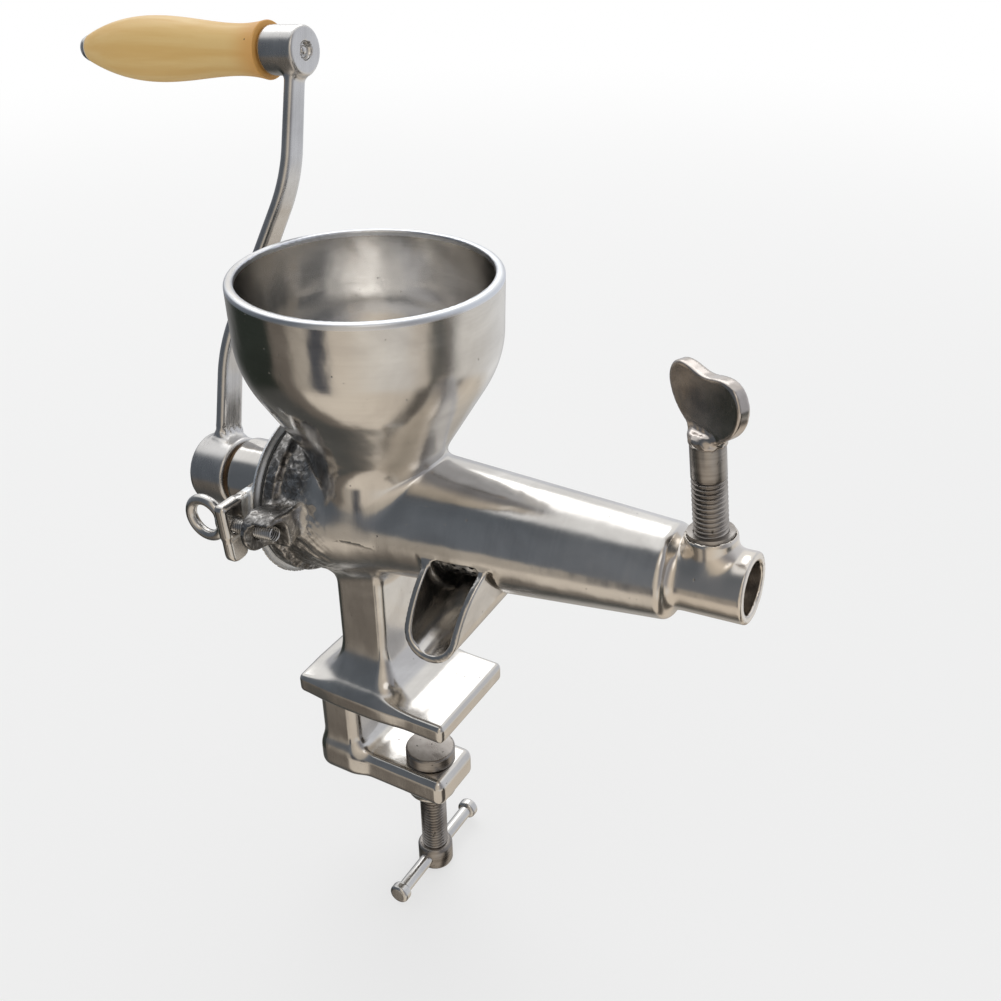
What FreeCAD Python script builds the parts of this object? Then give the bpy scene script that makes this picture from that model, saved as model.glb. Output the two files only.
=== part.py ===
"""Manual wheatgrass juicer: a hand cranked auger press with a screw clamp for its foot.

Millimetres. The origin lies in the seat face of the upper clamp jaw, under the axis of
the hopper. +Z is up, +X runs along the barrel to the pulp nozzle and -Y is the side of
the juice spout. The barrel rises a little towards its nozzle. The pieces on it are drawn
about a level axis and then set on the slope.
"""
import FreeCAD, Part
import math
import os

V = FreeCAD.Vector
os.makedirs("parts", exist_ok=True)

# Stance
axis_height = 91.0          # barrel axis over the jaw's seat, under the hopper
barrel_rise_deg = 4.0       # climb of the barrel towards the nozzle
crank_rest_deg = 17.2       # lean of the crank arm from upright, away from the spout side

# Clearances
running_gap = 0.05          # radial, shaft in bush and screw in thread
slip_gap = 0.03             # radial, pieces pushed together by hand
face_gap = 0.1              # along the axis, between faces that turn on each other
free_gap = 0.3              # between pieces that pass without touching

# Edge rounds
cast_edge = 1.0             # outer edges of the castings
light_edge = 0.5            # edges that are only broken
soft_edge = 1.5             # edges that the hand meets

# Hopper
hopper_rim_radius = 50.0
hopper_rim_height = 96.7    # over the barrel axis
hopper_wall = 3.5
hopper_belly_radius = 49.4
hopper_belly_height = 65.0
hopper_belly_round = 30.0
hopper_neck_radius = 26.4
hopper_neck_height = 26.5
hopper_neck_round = 14.0
hopper_lip_round = 0.9
hopper_throat_floor = 3.0   # over the barrel axis

# Barrel casting
barrel_wall = 4.4
chamber_wall = 5.5          # thicker round the rear of the bore
chamber_length = 20.0
flange_rear = -34.0
flange_thickness = 6.0
flange_ledge = 2.5          # flange beyond the chamber, radial
barrel_root_x = 8.0
barrel_blend_round = 14.0
barrel_tip_x = 125.5
barrel_end_wall = 4.0
barrel_shoulder_round = 4.0

# Auger and strainer
auger_rear_radius = 23.0
auger_tip_radius = 11.8
auger_tip_gap = 3.5         # auger to the barrel's end wall
auger_collar_length = 4.0
auger_rear_flight_height = 8.5
auger_tip_flight_height = 4.8
auger_flight_root = 0.5     # depth that a flight runs into the core
auger_pitch = 26.0
auger_flight = 3.6          # thickness of a flight along the barrel
auger_clearance = 0.5       # flight to strainer, radial
strainer_thickness = 1.2
strainer_throat_gap = 2.0   # hopper throat to the strainer's rear edge
strainer_seat = 9.5         # strainer's front edge to the barrel's end wall
perforation_radius = 1.0
perforation_pitch = 3.6
perforation_margin = 2.6

# Drive shaft
shaft_radius = 8.0
drive_square = 11.0

# Rear cover
cover_thickness = 4.5
cover_gasket_thickness = 1.0
cover_gasket_inset = 0.5    # gasket inside the flange's edge
cover_spigot_length = 4.0
cover_flare_radius = 25.0
cover_flare_length = 7.0
cover_flare_round = 4.0
bearing_boss_radius = 16.0
bearing_boss_length = 20.5  # from the cover's flare
bush_wall = 2.5
shaft_seal_width = 2.5
shaft_seal_wall = 4.0
ear_top = 13.5
ear_bar_bottom = -1.0
ear_tab_bottom = -12.5
ear_tab_width = 11.0
ear_round = 5.0
ear_inner_round = 3.0

# Eye screws and their lugs
eye_screw_standoff = 11.0   # screw axis beyond the chamber
eye_screw_z = 4.0
eye_screw_radius = 3.0
eye_screw_depth = 11.0
eye_wire_radius = 2.2
eye_ring_radius = 7.9
lug_rear = -31.0
lug_length = 14.0
lug_radius = 8.0

# Crank
hub_radius = 15.2
hub_length = 18.0
hub_end_wall = 4.0
thrust_washer_radius = 13.2
thrust_washer_thickness = 3.6
arm_throw = 170.0
arm_thickness = 5.0
arm_root_width = 13.5
arm_tip_width = 9.0
arm_root_setback = 10.0     # middle of the arm behind the hub's front face
arm_tip_setback = 5.2       # middle of the arm behind the handle boss's front face
arm_bend_start = 53.0       # from the shaft's axis
arm_bend_stop = 48.0        # from the grip's axis
arm_bend_radius = 60.0
handle_boss_radius = 9.3
handle_boss_front = -46.5
handle_boss_length = 17.5
hub_screw_radius = 4.0
hub_screw_depth = 12.0
hub_screw_head_radius = 6.5
hub_screw_head_height = 4.0
hub_screw_slot = 1.4
hub_screw_slot_depth = 2.0

# Grip
grip_length = 96.5
grip_pin_radius = 3.5
pin_dimple_radius = 1.7
pin_dimple_depth = 1.0
grip_collar_radius = 11.1
grip_waist_radius = 9.9
grip_waist_at = 20.0        # from the handle boss
grip_belly_radius = 12.8
grip_belly_at = 55.0        # from the handle boss
grip_shoulder_radius = 10.6
grip_shoulder_back = 15.5   # from the far end
grip_end_radius = 5.9
cap_nut_radius = 5.6
cap_nut_end_radius = 4.5
cap_nut_length = 4.5
cap_nut_wall = 1.3
cap_nut_round = 2.0

# Pulp nozzle and pressure screw
nozzle_bore_radius = 9.5
nozzle_wall = 3.2
nozzle_length = 27.3
nozzle_root_length = 3.0
nozzle_root_round = 2.0
nozzle_spigot_wall = 1.5
pressure_screw_reach = 13.0      # from the barrel's tip
pressure_screw_radius = 6.1
pressure_screw_lean_deg = 3.0    # back from square to the barrel
pressure_screw_length = 44.4     # thread's foot to the weld collar
pressure_boss_wall = 3.2
pressure_boss_height = 6.1       # over the nozzle's skin
boss_ring_wall = 2.1
boss_ring_depth = 1.2
boss_ring_height = 2.0
plug_radius = 5.0
plug_height = 5.0
plug_chamfer = 2.0
plug_top = 6.5                   # over the barrel axis, backed out
plug_stem_radius = 2.5
plug_stem_length = 5.0
weld_collar_radius = 7.0
weld_collar_height = 4.0
weld_collar_round = 1.4
wing_width = 34.4
wing_height = 24.0
wing_middle_height = 11.0
wing_neck_width = 11.0
wing_top_inset = 0.8
wing_notch_depth = 3.5
wing_notch_round = 20.0
wing_top_round = 5.5
wing_side_round = 8.0
wing_thickness = 5.0
wing_offset = 1.3           # welded on off centre
wing_turn_deg = 30.0

# Juice slot and spout
juice_slot_middle = 50.0
juice_slot_length = 25.0
juice_slot_top = -3.5
juice_slot_far_y = 8.0
spout_wall = 2.4
spout_margin = 3.2          # spout beyond the slot at each end
spout_back_y = 12.0
spout_back_drop = 2.0       # floor under the barrel's underside
spout_reach = 41.5
spout_fall = 11.7
spout_tip_middle = 46.2
spout_tip_width = 22.5
spout_rim_top_y = -19.0
spout_rim_top_z = 1.0
spout_rim_mid_y = -35.5
spout_rim_mid_z = -14.5

# Clamp
column_rear = -16.0
column_front = 7.0
column_half_width = 15.0
jaw_rear = -33.0
jaw_front = 40.0
jaw_half_width = 25.0
jaw_thickness = 9.0
jaw_flare_height = 21.0
jaw_flare_round = 20.0
jaw_front_flare_round = 14.0
jaw_side_round = 5.0
clamp_opening = 36.0
clamp_throat_x = -13.0
throat_round = 4.0
neck_top_round = 6.0
neck_bottom_round = 8.0
lower_jaw_thickness = 14.0
lower_jaw_half_width = 14.0
frame_corner_round = 11.0
frame_edge_round = 3.0
clamp_screw_x = 17.0
clamp_screw_radius = 6.0
clamp_screw_spare = 5.0     # screw left between head and boss with the pad right up
clamp_tip_radius = 3.6
clamp_tip_length = 4.0
clamp_boss_radius = 11.0
clamp_boss_drop = 4.0
pad_radius = 11.0
pad_height = 6.5
clamp_head_radius = 8.0
clamp_head_height = 12.0
bar_radius = 3.0
bar_half_length = 27.0
bar_knob_radius = 4.6
bar_knob_length = 5.0

# Places worked out from the sizes above
over = 1.0                  # a cutting tool runs this far past the face that it cuts
spigot_end = flange_rear - cover_gasket_thickness + cover_spigot_length
cover_front = flange_rear - cover_gasket_thickness
cover_rear = cover_front - cover_thickness
ear_rear = cover_rear - cover_thickness
bearing_boss_end = cover_rear - cover_flare_length - bearing_boss_length
auger_rear_x = spigot_end + free_gap
barrel_end = barrel_tip_x - barrel_end_wall
auger_tip_x = barrel_end - auger_tip_gap
strainer_front_x = barrel_end - strainer_seat
strainer_rear_x = hopper_neck_radius - hopper_wall + strainer_throat_gap
washer_front = bearing_boss_end - face_gap
hub_front = washer_front - thrust_washer_thickness
hub_rear = hub_front - hub_length
boss_rear = handle_boss_front - handle_boss_length
grip_front = boss_rear - free_gap
grip_rear = grip_front - grip_length
nozzle_end_x = barrel_tip_x + nozzle_length
nozzle_radius = nozzle_bore_radius + nozzle_wall
nozzle_spigot_radius = nozzle_bore_radius + nozzle_spigot_wall
pressure_boss_radius = pressure_screw_radius + pressure_boss_wall
pressure_boss_top = nozzle_radius + pressure_boss_height
boss_ring_radius = pressure_screw_radius + boss_ring_wall
pressure_screw_x = barrel_tip_x + pressure_screw_reach
pressure_screw_foot = plug_top + face_gap
pressure_screw_top = pressure_screw_foot + pressure_screw_length
juice_slot_rear = juice_slot_middle - juice_slot_length / 2
juice_slot_front = juice_slot_middle + juice_slot_length / 2
seat_z = -axis_height
jaw_top = seat_z + jaw_thickness
lower_jaw_top = seat_z - clamp_opening
lower_jaw_bottom = lower_jaw_top - lower_jaw_thickness
pad_bottom = lower_jaw_top + free_gap
pad_travel = clamp_opening - free_gap - pad_height
clamp_screw_length = lower_jaw_thickness + clamp_boss_drop + pad_travel + clamp_screw_spare
bush_radius = shaft_radius + running_gap + bush_wall
bush_front = spigot_end - shaft_seal_width


def flight_radius(x):
    """Radius of the auger's flights at a place along the barrel."""
    slope = (auger_tip_radius - auger_rear_radius) / (auger_tip_x - auger_rear_x)
    return auger_rear_radius + slope * (x - auger_rear_x)


def strainer_inner(x):
    return flight_radius(x) + auger_clearance


def strainer_outer(x):
    return strainer_inner(x) + strainer_thickness


def bore_radius(x):
    return strainer_outer(x) + slip_gap


chamber_radius = bore_radius(flange_rear) + chamber_wall
flange_radius = chamber_radius + flange_ledge
barrel_root_radius = bore_radius(barrel_root_x) + barrel_wall
barrel_tip_radius = bore_radius(barrel_tip_x) + barrel_wall
eye_screw_y = chamber_radius + eye_screw_standoff
ear_tip = eye_screw_y + ear_tab_width / 2


def rod(radius, x0, x1, y=0.0, z=0.0):
    """Round bar along X."""
    return Part.makeCylinder(radius, x1 - x0, V(x0, y, z), V(1, 0, 0))


def post(radius, z0, z1, x=0.0, y=0.0):
    """Round bar along Z."""
    return Part.makeCylinder(radius, z1 - z0, V(x, y, z0), V(0, 0, 1))


def block(x0, x1, y0, y1, z0, z1):
    return Part.makeBox(x1 - x0, y1 - y0, z1 - z0, V(x0, y0, z0))


def rounded_wire(corners, place, closed=True):
    """Wire through corners (a, b, radius), each turned by an arc of its own radius."""
    count = len(corners)
    edges = []
    last = None
    first = None
    for i, (a, b, radius) in enumerate(corners):
        here = V(a, b, 0)
        arc = None
        start = end = here
        if radius > 0:
            before = V(corners[i - 1][0], corners[i - 1][1], 0) - here
            after = V(corners[(i + 1) % count][0], corners[(i + 1) % count][1], 0) - here
            before.normalize()
            after.normalize()
            half = before.getAngle(after) / 2
            start = here + before * (radius / math.tan(half))
            end = here + after * (radius / math.tan(half))
            inward = before + after
            inward.normalize()
            arc = (start, here + inward * (radius / math.sin(half) - radius), end)
        if last is not None and last.distanceToPoint(start) > 1e-6:
            edges.append(Part.makeLine(place(last), place(start)))
        if arc:
            edges.append(Part.Arc(*[place(p) for p in arc]).toShape())
        first = first or start
        last = end
    if closed and last.distanceToPoint(first) > 1e-6:
        edges.append(Part.makeLine(place(last), place(first)))
    return Part.Wire(edges)


def turned_x(corners):
    """Solid turned about X from corners (x, radius, corner round)."""
    face = Part.Face(rounded_wire(corners, lambda p: V(p.x, 0, p.y)))
    return face.revolve(V(0, 0, 0), V(1, 0, 0), 360)


def turned_z(corners):
    """Solid turned about Z from corners (radius, z, corner round)."""
    face = Part.Face(rounded_wire(corners, lambda p: V(p.x, 0, p.y)))
    return face.revolve(V(0, 0, 0), V(0, 0, 1), 360)


def plate_xz(corners, y0, y1):
    """Outline of corners (x, z, corner round), made thick along Y."""
    face = Part.Face(rounded_wire(corners, lambda p: V(p.x, y0, p.y)))
    return face.extrude(V(0, y1 - y0, 0))


def plate_yz(corners, x0, x1):
    """Outline of corners (y, z, corner round), made thick along X."""
    face = Part.Face(rounded_wire(corners, lambda p: V(x0, p.x, p.y)))
    return face.extrude(V(x1 - x0, 0, 0))


def turned(shape, axis, degrees):
    """Copy of a shape turned about an axis through the crossing of the main axes."""
    placed = shape.copy()
    placed.rotate(V(0, 0, 0), axis, degrees)
    return placed


def sloped(shape):
    """Barrel piece set on the slope, still about the crossing of the axes."""
    return turned(shape, V(0, 1, 0), -barrel_rise_deg)


def levelled(shape):
    """Upright piece taken into the barrel's level drawing."""
    return turned(shape, V(0, 1, 0), barrel_rise_deg)


def leaned(shape):
    """Pressure screw piece, drawn upright over the barrel axis, leaned back and set in place."""
    placed = turned(shape, V(0, 1, 0), -pressure_screw_lean_deg)
    placed.translate(V(pressure_screw_x, 0, 0))
    return placed


def swung(shape):
    """Crank piece turned from upright to its rest."""
    return turned(shape, V(1, 0, 0), -crank_rest_deg)


def mirrored_y(shape):
    return shape.mirror(V(0, 0, 0), V(0, 1, 0))


def save_upright(node, shape):
    """Write one node of sound solids, drawn about the crossing of the axes."""
    placed = shape.copy()
    placed.translate(V(0, 0, axis_height))
    solids = placed.Solids
    sound = bool(solids) and all(s.isValid() and s.Volume > 1 for s in solids)
    box = placed.BoundBox
    print(f"{node:18s} solids {len(solids)} sound {sound} volume {placed.Volume:9.0f}"
          f"  x {box.XMin:.1f} {box.XMax:.1f}  y {box.YMin:.1f} {box.YMax:.1f}"
          f"  z {box.ZMin:.1f} {box.ZMax:.1f}")
    whole = solids[0] if len(solids) == 1 else Part.makeCompound(solids)
    whole.exportStep(f"parts/{node}.step")


def save_on_barrel(node, shape):
    save_upright(node, sloped(shape))


def barrel_envelope():
    """Outside of the barrel casting as one closed solid."""
    return turned_x([
        (flange_rear, 0, 0),
        (flange_rear, flange_radius, cast_edge),
        (flange_rear + flange_thickness, flange_radius, cast_edge),
        (flange_rear + flange_thickness, chamber_radius, light_edge),
        (flange_rear + chamber_length, chamber_radius, barrel_blend_round),
        (barrel_root_x, barrel_root_radius, barrel_blend_round),
        (barrel_tip_x, barrel_tip_radius, barrel_shoulder_round),
        (barrel_tip_x, 0, 0),
    ])


def hopper_outside():
    return turned_z([
        (0, 0, 0),
        (hopper_neck_radius, 0, 0),
        (hopper_neck_radius, hopper_neck_height, hopper_neck_round),
        (hopper_belly_radius, hopper_belly_height, hopper_belly_round),
        (hopper_rim_radius, hopper_rim_height, hopper_lip_round),
        (0, hopper_rim_height, 0),
    ])


def hopper_hollow():
    """Inside of the hopper, run on down through the barrel's upper wall."""
    half_turn = math.atan2(hopper_belly_radius - hopper_neck_radius,
                           hopper_belly_height - hopper_neck_height) / 2
    lift = hopper_wall * math.tan(half_turn)
    throat = hopper_neck_radius - hopper_wall
    mouth = hopper_rim_radius - hopper_wall
    return turned_z([
        (0, hopper_throat_floor, 0),
        (throat, hopper_throat_floor, 0),
        (throat, hopper_neck_height + lift, hopper_neck_round + hopper_wall),
        (hopper_belly_radius - hopper_wall, hopper_belly_height + lift, hopper_belly_round - hopper_wall),
        (mouth, hopper_rim_height - hopper_lip_round, 0),
        (mouth + hopper_lip_round, hopper_rim_height, 0),
        (mouth + hopper_lip_round, hopper_rim_height + over, 0),
        (0, hopper_rim_height + over, 0),
    ])


def make_hopper():
    shell = hopper_outside().cut(hopper_hollow())
    shell = shell.cut(sloped(barrel_envelope()))
    save_upright("hopper", max(shell.Solids, key=lambda s: s.Volume))


def make_barrel():
    """Casting with the tapered bore, the hopper throat and the juice slot."""
    bore = turned_x([
        (flange_rear - over, 0, 0),
        (flange_rear - over, bore_radius(flange_rear - over), 0),
        (strainer_front_x, bore_radius(strainer_front_x), 0),
        (strainer_front_x, strainer_inner(strainer_front_x), 0),
        (barrel_end, strainer_inner(barrel_end), 0),
        (barrel_end, 0, 0),
    ])
    slot = block(juice_slot_rear, juice_slot_front, -flange_radius, juice_slot_far_y,
                 -flange_radius, juice_slot_top)
    body = barrel_envelope().cut(bore).cut(levelled(hopper_hollow())).cut(slot)
    body = body.cut(rod(nozzle_spigot_radius, barrel_end - over, barrel_tip_x + over))
    save_on_barrel("barrel", body)


def make_nozzle():
    """Pulp nozzle with the boss that the pressure screw is tapped into."""
    tube = turned_x([
        (barrel_end, 0, 0),
        (barrel_end, nozzle_spigot_radius, 0),
        (barrel_tip_x, nozzle_spigot_radius, 0),
        (barrel_tip_x, barrel_tip_radius - barrel_shoulder_round, 0),
        (barrel_tip_x + nozzle_root_length, nozzle_radius, nozzle_root_round),
        (nozzle_end_x, nozzle_radius, light_edge),
        (nozzle_end_x, 0, 0),
    ])
    tube = tube.fuse(leaned(post(pressure_boss_radius, 0, pressure_boss_top)))
    tube = tube.cut(rod(nozzle_bore_radius, barrel_end - over, nozzle_end_x + over))
    thread = post(pressure_screw_radius + running_gap, 0, pressure_boss_top + boss_ring_height)
    ring_bottom = pressure_boss_top - boss_ring_depth
    tube = tube.cut(leaned(thread)).cut(leaned(post(boss_ring_radius, ring_bottom, pressure_boss_top + over)))
    save_on_barrel("pulp_nozzle", tube)
    ring = post(boss_ring_radius, ring_bottom, ring_bottom + boss_ring_height).cut(thread)
    save_on_barrel("screw_boss_ring", leaned(ring))


def make_pressure_screw():
    """Winged screw with the loose plug that it pushes into the nozzle's bore."""
    screw = post(pressure_screw_radius, pressure_screw_foot, pressure_screw_top)
    screw = screw.cut(post(plug_stem_radius + running_gap, pressure_screw_foot - over,
                           pressure_screw_foot + plug_stem_length))
    collar_top = pressure_screw_top + weld_collar_height
    collar = post(weld_collar_radius, pressure_screw_top, collar_top)
    rim = [e for e in collar.Edges if e.Curve.TypeId == "Part::GeomCircle"]
    collar = collar.makeFillet(weld_collar_round, rim)
    save_on_barrel("pressure_screw", leaned(screw.fuse(collar)))
    plug = post(plug_radius, plug_top - plug_height, plug_top)
    low_edge = min(plug.Edges, key=lambda e: e.CenterOfMass.z)
    plug = plug.makeChamfer(plug_chamfer, [low_edge])
    stem = post(plug_stem_radius, plug_top, plug_top + plug_stem_length - face_gap)
    save_on_barrel("pressure_plug", leaned(plug.fuse(stem)))
    half = wing_width / 2
    middle = collar_top + wing_middle_height
    top = collar_top + wing_height
    wing = plate_xz([
        (-wing_neck_width / 2, collar_top, 0),
        (wing_neck_width / 2, collar_top, 0),
        (half, middle, wing_side_round),
        (half - wing_top_inset, top, wing_top_round),
        (0, top - wing_notch_depth, wing_notch_round),
        (-half + wing_top_inset, top, wing_top_round),
        (-half, middle, wing_side_round),
    ], -wing_thickness / 2, wing_thickness / 2)
    wing.translate(V(wing_offset, 0, 0))
    save_on_barrel("pressure_wing", leaned(turned(wing, V(0, 0, 1), -wing_turn_deg)))


def make_strainer():
    """Conical sleeve, perforated where it lies over the juice slot."""
    sleeve = turned_x([
        (strainer_rear_x, strainer_inner(strainer_rear_x), 0),
        (strainer_rear_x, strainer_outer(strainer_rear_x), 0),
        (strainer_front_x, strainer_outer(strainer_front_x), 0),
        (strainer_front_x, strainer_inner(strainer_front_x), 0),
    ])
    first = juice_slot_rear + perforation_margin
    rows = int((juice_slot_front - perforation_margin - first) / perforation_pitch) + 1
    middle_radius = strainer_outer((juice_slot_rear + juice_slot_front) / 2)
    near_angle = math.acos((-juice_slot_top + perforation_margin) / middle_radius)
    far_angle = -math.asin((juice_slot_far_y - perforation_margin) / middle_radius)
    step = perforation_pitch / middle_radius
    columns = int((near_angle - far_angle) / step) + 1
    drills = []
    for row in range(rows):
        x = first + row * perforation_pitch
        for column in range(columns):
            angle = far_angle + (column + (row % 2) / 2) * step
            if angle > near_angle:
                continue
            outward = V(0, -math.sin(angle), -math.cos(angle))
            start = V(x, 0, 0) + outward * (strainer_inner(x) - over)
            drills.append(Part.makeCylinder(perforation_radius, strainer_thickness + 2 * over, start, outward))
    save_on_barrel("strainer", sleeve.cut(drills))


def make_auger():
    """Tapered screw on its drive shaft, with a square end for the crank hub."""
    core_rear_radius = auger_rear_radius - auger_rear_flight_height
    core = turned_x([
        (auger_rear_x, 0, 0),
        (auger_rear_x, core_rear_radius, light_edge),
        (auger_rear_x + auger_collar_length, core_rear_radius, 0),
        (auger_tip_x, auger_tip_radius - auger_tip_flight_height, cast_edge),
        (auger_tip_x, 0, 0),
    ])
    half = auger_flight / 2
    flight_front = auger_tip_x - half
    length = flight_front - auger_rear_x - auger_collar_length - half
    tip = flight_radius(flight_front)
    foot = tip - auger_rear_flight_height - auger_flight_root
    cone_deg = math.degrees(math.atan2(flight_radius(flight_front - length) - tip, length))
    path = Part.makeHelix(auger_pitch, length, (tip + foot) / 2, cone_deg)
    section = Part.makePolygon([V(foot, 0, -half), V(tip, 0, -half), V(tip, 0, half),
                                V(foot, 0, half), V(foot, 0, -half)])
    flights = turned(Part.Wire(path.Edges).makePipeShell([section], True, True), V(0, 1, 0), -90)
    flights.translate(V(flight_front, 0, 0))
    square_end = hub_rear + hub_end_wall
    shaft = rod(shaft_radius, hub_front, auger_rear_x)
    side = drive_square / 2
    square = block(square_end, hub_front, -side, side, -side, side)
    auger = core.fuse([flights, shaft, square])
    auger = auger.cut(rod(hub_screw_radius, square_end - over, hub_rear + hub_screw_depth))
    save_on_barrel("auger", swung(auger))


def make_cover():
    """Rear cover with the bearing boss and the two ears that the eye screws hold."""
    spigot_radius = bore_radius(spigot_end) - slip_gap
    cover = turned_x([
        (spigot_end, 0, 0),
        (spigot_end, spigot_radius, light_edge),
        (cover_front, spigot_radius, 0),
        (cover_front, flange_radius, light_edge),
        (cover_rear, flange_radius, soft_edge),
        (cover_rear, cover_flare_radius, cast_edge),
        (cover_rear - cover_flare_length, bearing_boss_radius, cover_flare_round),
        (bearing_boss_end, bearing_boss_radius, light_edge),
        (bearing_boss_end, 0, 0),
    ])
    ear = plate_yz([
        (-shaft_radius, ear_top, 0),
        (-ear_tip, ear_top, soft_edge),
        (-ear_tip, ear_tab_bottom, ear_round),
        (-ear_tip + ear_tab_width, ear_tab_bottom, ear_round),
        (-ear_tip + ear_tab_width, ear_bar_bottom, ear_inner_round),
        (-shaft_radius, ear_bar_bottom, 0),
    ], ear_rear, cover_rear)
    cover = cover.fuse([ear, mirrored_y(ear)])
    cover = cover.cut(rod(bush_radius, bearing_boss_end - over, spigot_end + over))
    cover = cover.cut(rod(shaft_radius + shaft_seal_wall, bush_front, spigot_end + over))
    for side in (-1, 1):
        hole = rod(eye_screw_radius + free_gap, ear_rear - over, cover_rear + over,
                   side * eye_screw_y, eye_screw_z)
        cover = cover.cut(hole)
    save_on_barrel("rear_cover", cover.removeSplitter())
    shaft_hole = rod(shaft_radius + running_gap, bearing_boss_end - over, spigot_end + over)
    save_on_barrel("bearing_bush", rod(bush_radius, bearing_boss_end, bush_front).cut(shaft_hole))
    seal = rod(shaft_radius + shaft_seal_wall, bush_front, spigot_end)
    save_on_barrel("shaft_seal", seal.cut(shaft_hole))
    gasket = rod(flange_radius - cover_gasket_inset, cover_front, flange_rear)
    gasket = gasket.cut(rod(bore_radius(flange_rear), cover_front - over, flange_rear + over))
    save_on_barrel("cover_gasket", gasket)


def make_lugs():
    """Pair of tapped lugs on the casting's flanks."""
    lug_front = lug_rear + lug_length
    lug = rod(lug_radius, lug_rear, lug_front, -eye_screw_y, eye_screw_z)
    web = block(lug_rear, lug_front, -eye_screw_y, 0, eye_screw_z - lug_radius, eye_screw_z + lug_radius)
    lug = lug.fuse(web).cut(barrel_envelope())
    lug = lug.cut(rod(eye_screw_radius + running_gap, lug_rear - over, lug_rear + eye_screw_depth + over,
                      -eye_screw_y, eye_screw_z))
    lug = lug.removeSplitter()
    save_on_barrel("cover_lugs", Part.makeCompound([lug, mirrored_y(lug)]))


def make_eye_screws():
    """Ring headed screws that press the cover's ears towards the lugs."""
    ring_x = ear_rear - face_gap - eye_ring_radius - eye_wire_radius
    ring = Part.makeTorus(eye_ring_radius, eye_wire_radius, V(ring_x, -eye_screw_y, eye_screw_z), V(0, 1, 0))
    shank = rod(eye_screw_radius, ring_x + eye_ring_radius, lug_rear + eye_screw_depth,
                -eye_screw_y, eye_screw_z)
    screw = shank.fuse(ring)
    save_on_barrel("eye_screw_near", screw)
    save_on_barrel("eye_screw_far", mirrored_y(screw))


def crank_hub():
    hub = turned_x([
        (hub_rear, 0, 0),
        (hub_rear, hub_radius, cast_edge),
        (hub_front, hub_radius, light_edge),
        (hub_front, 0, 0),
    ])
    half = drive_square / 2 + slip_gap
    hub = hub.cut(block(hub_rear + hub_end_wall, hub_front + over, -half, half, -half, half))
    return hub.cut(rod(hub_screw_radius + slip_gap, hub_rear - over, hub_rear + hub_end_wall + over))


def handle_boss():
    boss = turned_x([
        (boss_rear, 0, 0),
        (boss_rear, handle_boss_radius, cast_edge),
        (handle_boss_front, handle_boss_radius, cast_edge),
        (handle_boss_front, 0, 0),
    ])
    boss = boss.cut(rod(grip_pin_radius, boss_rear - over, handle_boss_front + over))
    boss.translate(V(0, 0, arm_throw))
    return boss


def make_crank():
    """Hub, bent arm and handle boss, with the screw that holds the hub on the shaft."""
    save_on_barrel("crank_hub", swung(crank_hub()))
    save_on_barrel("handle_boss", swung(handle_boss()))
    root_x = hub_front - arm_root_setback
    tip_x = handle_boss_front - arm_tip_setback
    spine = rounded_wire([
        (root_x, hub_radius / 2, 0),
        (root_x, arm_bend_start, arm_bend_radius),
        (tip_x, arm_throw - arm_bend_stop, arm_bend_radius),
        (tip_x, arm_throw - handle_boss_radius / 2, 0),
    ], lambda p: V(p.x, 0, p.y), closed=False)
    half = arm_thickness / 2
    wide = arm_root_width
    low = hub_radius / 2
    section = Part.makePolygon([V(root_x - half, -wide, low), V(root_x + half, -wide, low),
                                V(root_x + half, wide, low), V(root_x - half, wide, low),
                                V(root_x - half, -wide, low)])
    bar = spine.makePipeShell([section], True, False)
    taper = plate_yz([
        (-arm_root_width / 2, 0, 0),
        (arm_root_width / 2, 0, 0),
        (arm_tip_width / 2, arm_throw, 0),
        (-arm_tip_width / 2, arm_throw, 0),
    ], hub_rear, handle_boss_front)
    bar = bar.common(taper)
    bar = bar.cut(rod(hub_radius, hub_rear, hub_front))
    bar = bar.cut(rod(handle_boss_radius, boss_rear, handle_boss_front, 0, arm_throw))
    save_on_barrel("crank_arm", swung(bar))
    washer = rod(thrust_washer_radius, hub_front, washer_front)
    washer = washer.cut(rod(shaft_radius, hub_front - over, washer_front + over))
    save_on_barrel("thrust_washer", washer)
    screw = rod(hub_screw_radius, hub_rear, hub_rear + hub_screw_depth)
    head = turned_x([
        (hub_rear - hub_screw_head_height, 0, 0),
        (hub_rear - hub_screw_head_height, hub_screw_head_radius, soft_edge),
        (hub_rear, hub_screw_head_radius, 0),
        (hub_rear, 0, 0),
    ])
    head_rear = hub_rear - hub_screw_head_height
    slot = block(head_rear - over, head_rear + hub_screw_slot_depth,
                 -hub_screw_head_radius, hub_screw_head_radius, -hub_screw_slot / 2, hub_screw_slot / 2)
    save_on_barrel("hub_screw", swung(screw.fuse(head).cut(slot)))


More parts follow.
